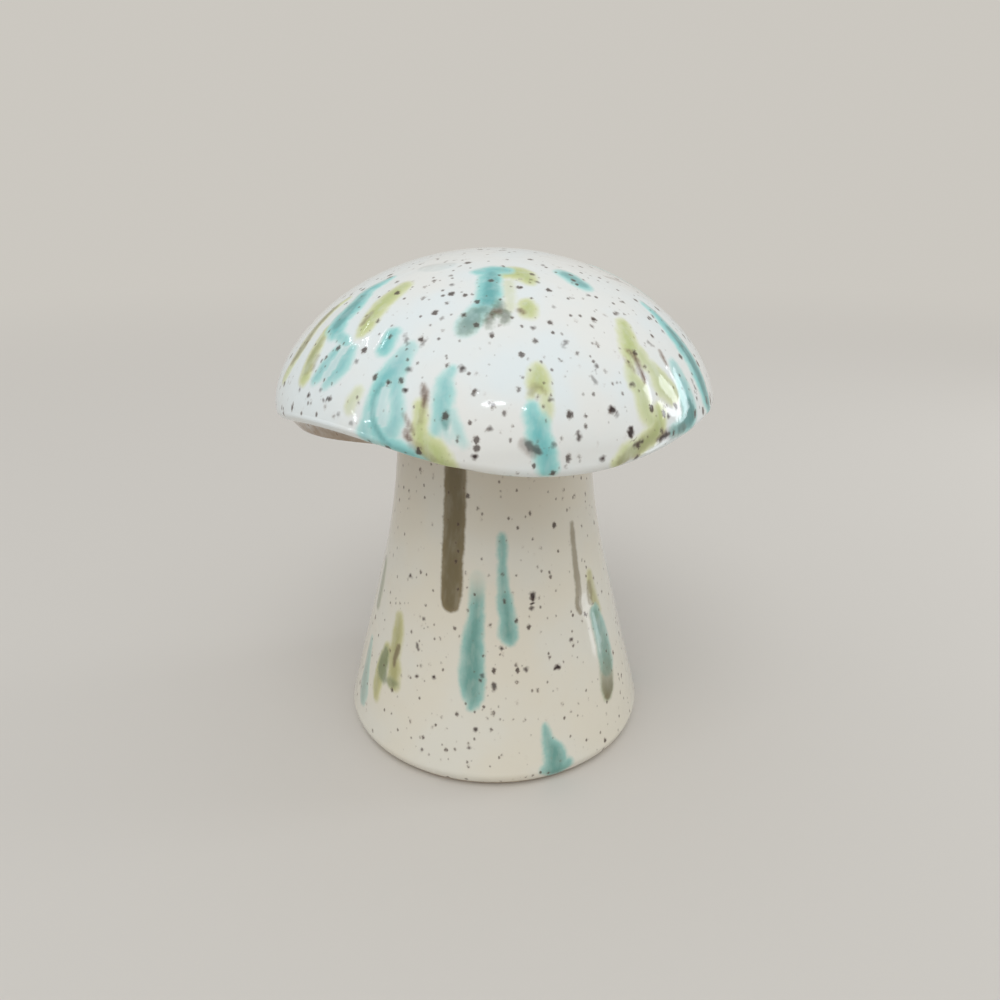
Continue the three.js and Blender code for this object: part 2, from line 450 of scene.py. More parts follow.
# White glaze with iron specks, tinted runs with feathered edges, and bare clay where nothing was glazed
def buildGlaze(name, white, warmWhite, tints, specks):
    form = glazeForm
    material = newMaterial(name)
    tree = material.node_tree
    times, plus, minus, timesPlus, ease, blend = toolsIn(tree)
    coords = addNode(tree, "ShaderNodeTexCoord").outputs["Object"]
    place = vectorCalc(tree, "SCALE", coords, 1 / mm)

    def readValue(attribute):
        return addNode(tree, "ShaderNodeAttribute", attribute_name=attribute).outputs["Fac"]

    def formNoise(word):
        return noise(tree, place, *form[word])["Fac"]

    # a fine run is thinner than the mesh's faces, and the way to its middle is true between their corners
    def runGap(tint):
        gap = readValue(tint + "Gap")
        if tint in runForm["fineTints"]:
            reach = addNode(tree, "ShaderNodeAttribute", attribute_name=tint + "Reach").outputs["Vector"]
            near = minus(vectorLength(tree, reach), readValue(tint + "Width"))
            gap = calc(tree, "MAXIMUM", near, minus(gap, runForm["fineSlack"]))
        return gap

    # the white coat drifts between two whites
    cloud = ease(formNoise("cloud"), *form["cloudSpan"])
    colour = tintOver(tree, white, warmWhite, cloud)

    wander = minus(formNoise("wander"), 0.5)
    fray = minus(formNoise("fray"), 0.5)
    drawn = vectorCalc(tree, "MULTIPLY", place, form["streakStretch"])
    thin = ease(noise(tree, drawn, *form["streak"])["Fac"], *form["thinSpan"])
    runShare = 0.0
    for tint, shade in tints.items():
        gap = timesPlus(wander, shade["wander"], runGap(tint))
        gap = timesPlus(fray, shade["fray"], minus(gap, shade["spread"]))
        cover = minus(1.0, ease(gap, -shade["soft"], shade["soft"]))
        coat = times(readValue(tint + "Coat"), blend(thin, shade["thin"], 1.0))
        cover = times(cover, coat)
        depth = ease(gap, form["coreStart"], -shade["core"])
        colour = tintOver(tree, colour, tintOver(tree, shade["light"], shade["deep"], depth), cover)
        runShare = calc(tree, "MAXIMUM", runShare, cover)

    # iron specks of several sizes, each cell of the pattern holding at most one, the larger the darker
    for speck in specks:
        ragged = noise(tree, place, speck["ragged"], form["speckDetail"])["Color"]
        shift = vectorCalc(tree, "SUBTRACT", ragged, (0.5, 0.5, 0.5))
        moved = vectorCalc(tree, "ADD", place, vectorCalc(tree, "SCALE", shift, speck["shift"]))
        moved = vectorCalc(tree, "ADD", moved, speck["offset"])
        moved = vectorCalc(tree, "MULTIPLY", moved, form["speckStretch"])
        cells = addNode(tree, "ShaderNodeTexVoronoi", {"Vector": moved, "Scale": 1 / speck["cell"]}).outputs
        chance = addNode(tree, "ShaderNodeSeparateColor", {"Color": cells["Color"]}).outputs["Red"]
        size = times(calc(tree, "POWER", chance, speck["rarity"]), speck["size"])
        gap = minus(times(cells["Distance"], speck["cell"]), size)
        ink = minus(1.0, ease(gap, -speck["soft"], speck["soft"]))
        strength = blend(chance, speck["faint"], speck["strong"])
        halo = minus(1.0, ease(gap, form["haloStart"], speck["halo"]))
        colour = tintOver(tree, colour, form["haloTone"], times(halo, times(strength, form["haloStrength"])))
        colour = tintOver(tree, colour, form["speckTone"], times(ink, strength))

    # a tan painted shade with a painted warm reflection lies on the cap's underside and lip, and at the rim's
    # edge also stands for thin glaze; bare clay has no glaze
    grain = formNoise("grain")
    clay = tintOver(tree, form["clay"], form["clayDark"], ease(grain, *form["grainSpan"]))
    bareAndShade = timesPlus(wander, form["bareAndShadeWander"], readValue("bare"))
    paintedShadeShare = times(ease(bareAndShade, *form["paintedShadeSpan"]), form["paintedShadeStrength"])
    bare = ease(timesPlus(fray, form["bareFray"], bareAndShade), *form["bareSpan"])
    colour = tintOver(tree, tintOver(tree, colour, form["paintedShadeTone"], paintedShadeShare), clay, bare)

    rough = blend(formNoise("gloss"), *form["rough"])
    ripple = times(formNoise("ripple"), form["rippleHeight"])
    ripple = plus(ripple, times(runShare, form["runEdge"]))
    ripple = blend(bare, ripple, times(grain, form["grainBump"]))
    bump = addNode(tree, "ShaderNodeBump", {"Strength": 1.0, "Distance": mm, "Height": ripple})
    shader = addNode(tree, "ShaderNodeBsdfPrincipled", {
        "Base Color": colour, "Roughness": blend(bare, rough, form["clayRough"]),
        "Normal": bump.outputs[0], "IOR": form["ior"],
    })
    addNode(tree, "ShaderNodeOutputMaterial", {"Surface": shader.outputs[0]})
    return material


# Cap

capForm = {
    "seatHeight": 75.5, "seatRadius": 24.25, "capHeight": 38.0, "capRadius": 48.8, "rimRise": 6.5,
    "domePeak": 1.2, "edgeTuck": 2.6, "edgeDrop": 2.4, "undersideRise": 0.45, "bellyInset": 4.4,
    "bellyDrop": 0.2, "waveReach": 14.6, "wall": 4.5, "hollowRimAngle": 82, "socketRadius": 17.3,
    "edgeWaves": [(0.8, 1, 110), (1.1, 2, -60), (1.8, 3, -35), (0.9, 4, 46)],  # rise, lobes, crest
    "bellyWaves": [(1.6, 3, -16)],
    # the underside's and the edge's levels set a painted shade on them, which at the edge also stands for
    # thin glaze
    "seatBare": 0.6, "undersideShadeLevel": 0.3, "edgeThinGlazeAndShade": 0.2, "edgeThinGlazeAndShadeFade": 3, "rowCrowding": 1.5,
    "columns": 480, "domeRows": 104, "edgeRows": 9, "lipRows": 8, "undersideRows": 24, "hollowRows": 10,
    "unevenness": 0.22, "unevenScale": 42.0, "seed": 3.0, "relief": 0.18,
    "runDrop": 0.5,  # millimetres that a run goes down for a degree past the rim
}
capForm["rim"] = capForm["seatHeight"] + capForm["rimRise"]
capForm["top"] = capForm["seatHeight"] + capForm["capHeight"]
capForm["edgeRadius"] = capForm["capRadius"] - capForm["edgeTuck"]
capForm["bellyRadius"] = capForm["capRadius"] - capForm["bellyInset"]


def domePoint(angle, radius, top):
    rise = max(0, math.cos(angle)) ** capForm["domePeak"]
    return radius * math.sin(angle), mix(capForm["rim"], top, rise)


def capProfile():
    form = capForm
    edgeRadius, bellyRadius, seat = form["edgeRadius"], form["bellyRadius"], form["seatHeight"]
    edgeHeight = form["rim"] - form["edgeDrop"]
    bellyHeight = edgeHeight - form["bellyDrop"]
    hollowAngle = math.radians(form["hollowRimAngle"])
    hollowRadius, hollowTop = form["capRadius"] - form["wall"], form["top"] - form["wall"]
    hollow = [(*domePoint(share * hollowAngle, hollowRadius, hollowTop), 1)
              for share in shares(form["hollowRows"])]
    socket = [(form["seatRadius"], seat + form["wall"], 1), (form["socketRadius"], seat + form["wall"], 1),
              (form["socketRadius"], seat, 1)]
    underside = []
    for step in shares(form["undersideRows"]):
        share = step ** form["rowCrowding"]
        underside.append((mix(form["seatRadius"], bellyRadius, share),
                          mix(seat, bellyHeight, share ** form["undersideRise"]),
                          form["undersideShadeLevel"] if share else form["seatBare"]))
    lip = [(mix(bellyRadius, edgeRadius, share), mix(bellyHeight, edgeHeight, share ** 2),
            mix(form["undersideShadeLevel"], form["edgeThinGlazeAndShade"], share)) for share in shares(form["lipRows"])[1:]]
    edge = [(edgeRadius + form["edgeTuck"] * math.sin(share * math.pi / 2),
             form["rim"] - form["edgeDrop"] * math.cos(share * math.pi / 2),
             form["edgeThinGlazeAndShade"] * (1 - share) ** form["edgeThinGlazeAndShadeFade"])
            for share in shares(form["edgeRows"])[1:-1]]
    dome = [(*domePoint((1 - share) * math.pi / 2, form["capRadius"], form["top"]), 0)
            for share in shares(form["domeRows"])]
    return hollow + socket + underside + lip + edge + dome


# Runs of each tint as (coat, path). A coat is a number or its two ends, and a path's points are the azimuth
# from the front towards +X, the degrees down from the top and the half width in millimetres
capRuns = {
    "lime": [
        (1.0, [(-40, 34, 1.9), (-41, 39, 2.3), (-41, 43, 2.2), (-40, 49, 2.0), (-40, 52, 1.3)]),
        (1.0, [(-57, 53, 1.1), (-55, 59, 1.8), (-54, 64, 2.0), (-53, 69, 2.1)]),
        (0.9, [(-66, 42, 0.9), (-67, 48, 1.4), (-66, 54, 1.6), (-65, 61, 1.8), (-65, 67, 1.8),
               (-66, 73, 1.5)]),
        (0.65, [(-32, 70, 1.2), (-33, 74, 1.3), (-33, 76, 1.1)]),
        (1.0, [(-16, 72, 1.0), (-15.5, 76, 1.3), (-15.5, 80, 1.4), (-15, 83, 1.7), (-13.5, 87, 2.2),
               (-12, 92, 2.8), (-10.5, 98, 3.0)]),
        (1.0, [(6.5, 26, 2.4), (10.5, 26, 2.8), (14, 27, 2.5), (15.5, 29.5, 1.8), (16, 31, 1.0)]),
        (0.5, [(6, 31, 1.1), (5.5, 37, 1.1), (5, 41.5, 0.7)]),
        (1.0, [(11, 40, 1.7), (10.5, 43, 1.6)]),
        (1.0, [(10, 60, 0.8), (10, 62, 1.6), (10, 65, 2.0), (11, 67, 1.3)]),
        (0.8, [(9, 66, 0.8), (8, 69, 0.6)]),
        (0.8, [(11, 70, 1.0), (11, 73, 1.2), (10, 77, 1.0)]),
        (1.0, [(41, 49, 1.5), (39, 53, 2.0), (38, 56, 2.2), (37, 58, 2.3)]),
        (0.85, [(36, 60, 1.1), (34, 64, 1.2), (34, 67, 1.6), (35, 70, 1.8), (35, 74, 1.8), (35, 78, 1.8),
                (36, 81, 1.8)]),
        (0.8, [(40, 59, 1.8), (40, 62, 1.8), (42, 65, 1.9), (43, 70, 2.8), (45, 73, 2.4)]),
        (1.0, [(39, 79, 1.9), (38, 84, 2.1), (36, 88, 2.0), (32, 92, 1.8), (29, 93, 1.6), (27, 97, 1.5)]),
    ],
    "turquoise": [
        (1.0, [(-56, 31, 0.9), (-57, 35, 1.7), (-58, 38, 2.0), (-55, 42, 2.5), (-54, 46, 2.8),
               (-54, 50, 2.8), (-51, 53, 2.2)]),
        (0.9, [(-51, 53, 1.2), (-45, 55, 1.1), (-42, 57, 1.0)]),
        (0.85, [(-45, 59, 1.4), (-46, 63, 1.6), (-47, 67, 1.6), (-48, 69, 1.2)]),
        (0.85, [(-40, 58, 1.4), (-40, 61, 1.8), (-40, 64, 1.8), (-42, 68, 1.3), (-43, 70, 0.9)]),
        (0.4, [(-42, 58, 1.5), (-43, 63, 1.6), (-44, 67, 1.3)]),
        (1.0, [(-29, 51, 1.5), (-29, 56, 1.6)]),
        ((0.6, 0.95), [(-22, 55, 1.4), (-23, 58, 1.9), (-24, 62, 2.4), (-26, 65, 1.9)]),
        (0.95, [(-26, 65, 1.9), (-27, 69, 1.4), (-27, 73, 1.4), (-27, 77, 1.4), (-26, 81, 1.5),
                (-24, 85, 1.7), (-21, 89, 1.8), (-18, 92, 1.9), (-16, 95, 1.9)]),
        (0.75, [(-28, 72, 0.9), (-28, 77, 1.1), (-28, 81, 1.5), (-28, 85, 1.8), (-26.5, 88, 1.5)]),
        (0.8, [(-23, 65, 1.6), (-22, 70, 1.4), (-21, 74, 1.4), (-21, 78, 1.6), (-22, 82, 1.8)]),
        (0.45, [(-25, 67, 1.1), (-25, 73, 1.1), (-24, 79, 1.3)]),
        (0.85, [(-10, 61, 0.8), (-11, 64, 1.3), (-11, 67, 1.7), (-11, 70, 1.8), (-11, 73, 1.7),
                (-11, 77, 1.6), (-12, 80, 1.0)]),
        ((0.75, 0.5), [(-9, 74, 0.8), (-8, 78, 0.9), (-7, 82, 0.9), (-6, 85, 0.7)]),
        ((0.6, 0.3), [(-10, 80, 0.8), (-9, 84, 0.5)]),
        (1.0, [(-10, 25.5, 0.7), (-7, 25.3, 1.4), (-2, 24.6, 1.9), (3, 24.6, 1.9), (6, 24.8, 1.6)]),
        (1.0, [(-2, 26, 2.0), (-2, 31, 2.2), (-2, 35, 2.4), (-2, 39, 2.4)]),
        ((0.85, 0.6), [(-4, 41, 2.0), (-6, 44, 2.2), (-7.5, 46.5, 2.2), (-8, 48.5, 1.7)]),
        (0.9, [(37, 27, 1.6), (38, 29, 2.1), (39, 32, 2.1), (40, 34, 1.6)]),
        (1.0, [(8, 72, 0.9), (8, 75, 1.7), (9, 78, 2.0), (9, 82, 2.1), (10, 87, 2.0), (11, 96, 1.9)]),
        (1.0, [(63, 44, 0.9), (63, 48, 1.5), (62, 53, 2.1), (62, 57, 2.7), (62, 62, 2.9), (62, 72, 2.9),
               (62, 78, 2.6), (63, 83, 2.0), (64, 88, 1.5)]),
        ((0.7, 1.0), [(51, 65, 1.5), (51, 69, 2.0), (51, 73, 2.4), (51, 78, 2.7), (51, 83, 2.9),
                      (50, 86, 2.5), (46, 88, 1.5), (43, 89, 1.0)]),
    ],
    "teal": [
        (0.5, [(-26, 67, 0.3), (-27, 70.5, 0.4), (-27, 75, 0.4), (-26, 79.5, 0.4), (-24, 84.5, 0.4),
               (-22, 88, 0.3)]),
        (0.75, [(-10, 74, 0.5), (-10, 77, 0.8), (-10, 79, 0.5)]),
        (0.45, [(-56, 40, 0.9), (-54, 47, 1.4), (-53, 51, 1.2)]),
        (0.3, [(-1, 27, 1.1), (-1, 33, 1.3), (-2, 39, 1.3)]),
        (0.75, [(62, 54, 1.0), (62, 66, 1.4), (62, 78, 1.3), (63, 85, 0.9)]),
        (0.85, [(51, 79, 1.2), (51, 84, 1.8), (46, 88, 1.1)]),
        (0.35, [(37.5, 28, 1.3), (39.5, 33, 1.3)]),
        (0.15, [(-43, 24.5, 1.5), (-36, 23.5, 2.2), (-29, 22, 1.4)]),
    ],
    "moss": [
        (0.55, [(-6, 43, 1.4), (-7, 46, 1.9), (-8, 48.5, 1.5)]),
        ((0.5, 1.0), [(2, 38.5, 0.7), (1.5, 41, 1.1), (1, 42.3, 1.2)]),
        ((1.0, 0.7), [(0, 42.5, 1.1), (-1.3, 44.3, 1.1), (-1.5, 47, 0.8)]),
        ((0.9, 0.7), [(1.8, 42.6, 1.1), (3.4, 43.6, 1.1), (2.9, 45.7, 0.8)]),
        (0.5, [(-4, 42, 1.0), (-1, 42, 1.0)]),
    ],
    "brown": [
        (0.55, [(-42, 45, 0.5), (-42, 49, 0.6)]),
        (0.5, [(-52, 62, 0.5), (-51, 66, 0.5)]),
        (0.3, [(-55, 57, 1.0), (-54, 63, 1.3), (-53, 67, 1.2)]),
        (0.55, [(-67, 46, 0.8), (-66, 54, 1.1), (-64, 61, 1.1), (-65, 67, 0.9)]),
        (0.9, [(-16, 66, 0.4), (-15.5, 68, 0.55), (-15, 70, 0.55), (-15, 72.5, 0.35)]),
        (0.4, [(-15, 73, 0.3), (-15.5, 77.5, 0.3)]),
        (0.7, [(-19, 75.5, 0.3), (-18, 78.5, 0.35), (-17, 81, 0.35)]),
        (1.0, [(-18.5, 81.5, 0.4), (-18, 83.5, 0.55), (-17, 85, 0.4)]),
        (0.35, [(-17, 86, 0.8), (-15, 89, 0.9), (-13, 93, 0.9)]),
        (0.6, [(0, 42, 0.5), (1.2, 42.5, 0.6)]),
        (0.5, [(-1.3, 44.5, 0.4)]),
        (0.8, [(8, 42, 0.5), (9, 43, 0.5)]),
        (0.35, [(9, 66, 0.6), (8, 68, 0.5)]),
        (0.5, [(10, 66, 0.3), (11, 68, 0.3)]),
        (0.95, [(36, 57.5, 0.35), (37, 58.5, 0.45), (37.5, 60.5, 0.55), (37.5, 63, 0.55),
                (37.5, 67.5, 0.3)]),
        (0.5, [(34, 59.5, 0.25), (34.5, 61.5, 0.3), (35.5, 64, 0.4)]),
        (0.9, [(48.5, 59.5, 0.35), (48, 61.5, 0.5), (48, 64, 0.35)]),
        (0.45, [(66, 31, 0.5), (71, 33, 0.6), (75, 36, 0.5)]),
        (0.6, [(38, 90, 0.9), (42, 90, 0.9)]),
        (0.4, [(42, 90, 1.2), (47, 89, 1.1)]),
        # partly a brown tint, partly painted shade at the lime run's foot by the rim
        ((0.15, 0.45), [(38, 85, 1.4), (36, 88, 1.4), (32, 92, 1.2), (28, 96, 1.2)]),
        (0.45, [(6, 85, 1.0), (8, 89, 1.0)]),
    ],
    "iron": [  # the larger specks
        (1.0, [(26, 75, 0.75)]), (0.6, [(27, 77, 0.35)]),
        (1.0, [(30, 83, 0.6), (30, 84, 0.8), (30, 85.5, 0.6)]),
        (1.0, [(17.5, 81.5, 0.25), (17.5, 83.5, 0.6)]), (0.9, [(31, 91, 0.45), (33, 90, 0.4)]),
        (0.65, [(7, 85.5, 0.6), (8, 87.5, 0.8), (9, 89, 0.5)]), (0.8, [(25, 61, 0.42)]),
        (0.75, [(19, 53, 0.45)]), (0.4, [(17.8, 54.3, 0.4)]), (0.85, [(42, 45, 0.45)]),
        (0.9, [(12, 70, 0.45)]), (0.9, [(33, 68, 0.45)]), (0.55, [(23, 64, 0.25), (23.5, 66, 0.4)]),
        (0.8, [(57, 54, 0.4)]), (1.0, [(23, 94, 0.6)]), (0.9, [(-7.5, 60.5, 0.65)]),
        (0.75, [(-20.3, 61.7, 0.55)]), (0.95, [(-20, 68, 0.42)]), (0.9, [(-4, 67, 0.42)]),
        (0.8, [(-1, 79, 0.42)]), (1.0, [(-4, 91, 0.5)]), (0.8, [(-1, 50, 0.42)]), (0.85, [(11, 48, 0.38)]),
        (0.8, [(-16, 45, 0.38)]), (1.0, [(-48, 75, 0.5)]), (0.8, [(-53, 74, 0.4)]),
        (0.9, [(-40, 74, 0.45)]), (0.8, [(-42, 75, 0.35)]), (0.6, [(-44, 72, 0.4)]),
        (0.7, [(-19, 54, 0.25), (-18, 52, 0.25)]), (0.65, [(-25, 51, 0.3), (-23, 54, 0.3)]),
        (0.7, [(-18, 32, 0.42)]), (0.6, [(-36, 61, 0.4)]), (0.6, [(-36, 79, 0.4)]),
        (0.5, [(-32, 81, 0.45)]), (0.75, [(37, 37.5, 0.4)]), (0.65, [(19, 31, 0.42)]),
        (0.65, [(20, 41, 0.35)]), (0.65, [(31, 46, 0.35)]), (0.7, [(12, 86, 0.45)]),
        (0.65, [(32, 22, 0.45)]), (0.6, [(46, 56, 0.35), (47, 57.5, 0.35)]), (0.9, [(62, 82, 0.5)]),
        (0.8, [(56, 78.5, 0.45)]), (0.8, [(56.5, 71.5, 0.3), (57, 75, 0.3)]), (0.8, [(42, 81, 0.5)]),
        (0.9, [(38, 91, 0.4), (40, 90.3, 0.6), (41.5, 90, 0.4)]),
    ],
}
capDrawn = {
    "seed": 11, "side": (84, 276), "specks": {"count": 26, "span": (22, 94)},
    "rings": [
        (5, (18, 34), (10, 26), (2.0, 3.0), 6, ("turquoise", "turquoise", "lime")),
        (7, (38, 58), (8, 26), (1.8, 3.0), 4, ("turquoise", "lime")),
        (9, (60, 80), (16, 30), (1.8, 3.0), 4, ("turquoise", "turquoise", "lime")),
    ],
}
for tint, paths in drawRuns(**capDrawn).items():
    capRuns[tint] += paths


def turnedPoint(radius, azimuth, height):
    turn = math.radians(azimuth)
    return radius * math.sin(turn), -radius * math.cos(turn), height


def capPoint(azimuth, down):
    radius, height = domePoint(math.radians(min(down, 90)), capForm["capRadius"], capForm["top"])
    return turnedPoint(radius, azimuth, height - capForm["runDrop"] * max(0, down - 90))


tintWords = ("light", "deep", "soft", "wander", "fray", "thin", "core", "spread")
tintRows = {
    "lime": (srgb(218, 221, 174), srgb(188, 198, 136), 0.75, 1.0, 0.25, 0.75, 2.2, 0.15),
    "turquoise": (srgb(168, 222, 216), srgb(112, 188, 188), 0.75, 1.0, 0.25, 0.8, 2.4, 0.15),
    "teal": (srgb(98, 150, 146), srgb(80, 130, 126), 0.5, 0.5, 0.3, 0.7, 1.0, 0.0),
    "moss": (srgb(160, 172, 148), srgb(106, 116, 98), 0.6, 0.8, 0.7, 0.6, 0.9, 0.1),
    "brown": (srgb(146, 122, 104), srgb(96, 76, 64), 0.5, 0.7, 0.35, 0.6, 1.0, 0.1),
    "iron": (srgb(112, 92, 84), srgb(48, 35, 34), 0.38, 0.3, 0.8, 0.9, 0.5, 0.0),
}
glazeTints = {tint: dict(zip(tintWords, row)) for tint, row in tintRows.items()}
speckLayers = [
    {"cell": 2.6, "size": 0.66, "rarity": 1.15, "soft": 0.2, "halo": 0.4, "faint": 0.35, "strong": 0.9,
     "ragged": 1.6, "shift": 0.85, "offset": (0.0, 0.0, 0.0)},
    {"cell": 1.8, "size": 0.36, "rarity": 1.0, "soft": 0.15, "halo": 0.25, "faint": 0.25, "strong": 0.8,
     "ragged": 2.6, "shift": 0.4, "offset": (31.0, 17.0, 9.0)},
]
capGlaze = buildGlaze("capGlaze", srgb(228, 235, 235), srgb(233, 233, 228), glazeTints, speckLayers)
capValues = wareValues(capForm, capGlaze)
capValues["Dome Peak"] = capForm["domePeak"]
for word, length in capLengths.items():
    capValues[word] = capForm[length] * mm
for title, waves in (("Edge", capForm["edgeWaves"]), ("Belly", capForm["bellyWaves"])):
    for number, (rise, lobes, crest) in enumerate(waves, 1):
        capValues[f"{title} Rise {number}"] = rise * mm
        capValues[f"{title} Lobes {number}"] = float(lobes)
        capValues[f"{title} Crest {number}"] = math.radians(crest)
capTree = buildTurnTree("Turned cap", len(capForm["edgeWaves"]), len(capForm["bellyWaves"]))
cap = turnPiece("mushroomCap", capProfile(), capTree, capValues)
raiseRuns(cap, layRuns(cap, capRuns, capPoint), capForm["relief"])
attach(cap, "root")
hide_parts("cap")
print("cap glazed:", sum(len(paths) for paths in capRuns.values()), "runs and spots")


# Stem

stemForm = {
    "footRadius": 38.15, "neckRadius": 22.75, "wallLean": 14.5, "straightHeight": 40.0,
    "shoulderHeight": 74.3, "footRound": 3.6, "bareBelow": 0.5, "recessRadius": 28.55, "recess": 1.5,
    "floorHeight": 6.5, "ventRadius": 3.0, "wall": 4.5, "spigotRadius": 17.0, "boreRadius": 13.0,
    "spigotTop": 82.0, "columns": 360, "wallRows": 120, "footRows": 14, "hollowRows": 10,
    "unevenness": 0.2, "unevenScale": 45.0, "seed": 8.0, "relief": 0.14,
}


def stemRadius(height):
    form = stemForm
    lean = math.tan(math.radians(form["wallLean"]))
    shortfall = form["neckRadius"] - form["footRadius"] + lean * form["shoulderHeight"]
    bend = shortfall / (form["shoulderHeight"] - form["straightHeight"]) ** 2
    return form["footRadius"] - lean * height + bend * max(0, height - form["straightHeight"]) ** 2


def stemProfile():
    form = stemForm
    footRound, shoulder = form["footRound"], form["shoulderHeight"]
    footCurve = []
    for share in shares(form["footRows"]):
        inset = footRound * (1 - math.sin(share * math.pi / 2))
        height = footRound * (1 - math.cos(share * math.pi / 2))
        footCurve.append((stemRadius(footRound) - inset, height, 1 if height < form["bareBelow"] else 0))
    heights = [mix(footRound, shoulder, share) for share in shares(form["wallRows"])[1:]]
    wall = [(stemRadius(height), height, 0) for height in heights]
    spigot = [(form["spigotRadius"], shoulder, 1), (form["spigotRadius"], form["spigotTop"], 1),
              (form["boreRadius"], form["spigotTop"], 1), (form["boreRadius"], shoulder - form["wall"], 1)]
    hollowTop = shoulder - form["wall"] - (form["neckRadius"] - form["wall"] - form["boreRadius"])
    heights = [mix(hollowTop, form["floorHeight"], share) for share in shares(form["hollowRows"])]
    hollow = [(stemRadius(height) - form["wall"], height, 1) for height in heights]
    floor = [(form["ventRadius"], form["floorHeight"], 1), (form["ventRadius"], form["recess"], 1),
             (form["recessRadius"], form["recess"], 1), (form["recessRadius"], 0, 1)]
    return footCurve + wall + spigot + hollow + floor + footCurve[:1]


# A path's points here are the azimuth, the height and the half width
stemRuns = {
    "lime": [
        (0.8, [(54, 43, 1.1), (54, 38, 1.6), (55, 34, 1.7)]),
        (0.9, [(-48, 34, 1.2), (-47, 31, 1.9), (-47, 28, 2.0), (-47, 25, 2.1), (-45.5, 22, 2.2),
               (-45, 19.6, 2.2), (-43.5, 18.5, 1.3)]),
        (1.0, [(-52.5, 25.5, 1.3), (-54, 21.6, 1.8), (-55, 18, 1.9), (-55, 15, 1.8), (-54, 13, 1.2)]),
    ],
    "turquoise": [
        ((0.2, 1.0), [(-8, 47, 1.5), (-8, 44, 1.6), (-8, 41, 1.6)]),
        (1.0, [(-8, 41, 1.6), (-8, 39, 1.7), (-9, 34, 2.3), (-9, 29, 2.7), (-9, 24, 2.8), (-8, 21, 2.0),
               (-9, 19, 0.9)]),
        (1.0, [(4, 56, 0.8), (4, 46, 1.1), (5, 42, 1.6), (6, 38, 1.8), (6, 35, 2.1), (7, 34, 1.5)]),
        (0.85, [(53, 34, 2.0), (55, 27, 2.8), (55, 21, 2.9)]),
        (0.65, [(-69, 23, 1.0), (-68, 18, 1.6), (-67, 14, 2.4), (-66, 11, 2.8), (-65, 9, 2.0)]),
        (1.0, [(19, 14, 0.5), (20, 10, 1.5), (22, 7, 2.6), (22, 4, 3.0)]),
        (1.0, [(18, 4, 1.2), (22, 3, 1.6), (27, 4, 1.3)]),
    ],
    "teal": [],
    "moss": [
        (0.8, [(-53, 24.3, 1.4), (-53.5, 21.8, 1.9), (-53, 19.5, 1.9), (-51.5, 18.4, 1.3)]),
        (0.6, [(-49, 18.5, 0.7), (-46, 18.6, 1.2), (-43, 19, 0.8)]),
        (0.6, [(-74, 42, 1.2), (-72, 37, 1.6), (-71, 32, 1.4)]),
        ((0.1, 1.0), [(55, 26, 2.4), (54, 21, 2.9), (52.5, 16.5, 2.8), (51.5, 14.7, 1.8)]),
    ],
    "brown": [
        (1.0, [(-21, 74, 2.4), (-21, 60, 2.5), (-21, 50, 2.5), (-20.5, 44, 2.5), (-20.5, 41, 2.1)]),
        (0.7, [(45, 56, 0.6), (44, 42, 0.9), (42, 38, 0.9), (43, 36, 0.6)]),
        (0.55, [(52, 41, 0.8), (51, 37, 0.8)]),
        ((0.1, 0.8), [(54, 21, 1.6), (53, 18, 2.2), (52.5, 16, 2.2), (51.5, 14.7, 1.4)]),
        (0.9, [(-45, 27.6, 0.6), (-46, 25, 0.7), (-46, 23, 0.4)]),
    ],
    "iron": [
        (1.0, [(18, 43, 0.7), (18, 42, 0.6)]), (0.9, [(17, 40, 0.5)]),
        (1.0, [(26, 26, 0.6), (27, 26, 0.6)]), (0.9, [(13, 27, 0.5)]), (0.9, [(0, 24, 0.5), (0, 23, 0.4)]),
        (1.0, [(-7, 14, 0.5)]), (0.7, [(-5, 26, 0.5)]), (1.0, [(-45, 44, 0.5)]),
        (0.8, [(-35, 30, 0.4), (-34, 29, 0.4)]), (1.0, [(-33, 23, 0.4)]), (1.0, [(-25, 24, 0.4)]),
        (0.8, [(-33, 36, 0.4)]), (1.0, [(3, 32, 0.4)]), (0.9, [(35, 31, 0.5)]), (1.0, [(-27, 7, 0.4)]),
        (0.9, [(-9, 10, 0.4)]),
    ],
}
stemDrawn = {
    "seed": 4, "side": (82, 278), "specks": {"count": 18, "span": (4, 72)},
    "rings": [
        (3, (66, 76), (-34, -18), (1.8, 2.6), 1.5, ("brown", "turquoise")),
        (6, (34, 52), (-28, -14), (1.8, 3.0), 2, ("turquoise", "lime")),
        (4, (11, 19), (-13, -8), (2.0, 3.2), 3, ("turquoise", "turquoise", "lime")),
    ],
}
for tint, paths in drawRuns(**stemDrawn).items():
    stemRuns[tint] += paths


def stemPoint(azimuth, height):
    return turnedPoint(stemRadius(height), azimuth, height)


# the stem's tint colours are greyer and warmer than the cap's: partly their own tone, partly painted shade
# under the cap and a painted warm reflection
stemTints = dict(
    glazeTints,
    lime=dict(glazeTints["lime"], light=srgb(200, 196, 144), deep=srgb(164, 160, 100)),
    turquoise=dict(glazeTints["turquoise"], light=srgb(156, 196, 186), deep=srgb(106, 154, 144), soft=0.65),
    moss=dict(glazeTints["moss"], light=srgb(156, 162, 124), deep=srgb(114, 126, 94), soft=0.8, thin=0.85,
              fray=0.3),
    brown=dict(glazeTints["brown"], light=srgb(130, 116, 86), deep=srgb(112, 100, 70), soft=0.4, thin=0.9,
               fray=0.25, core=1.6),
)
stemSpecks = [dict(speckLayers[0], size=0.48, rarity=1.3), dict(speckLayers[1], size=0.29)]
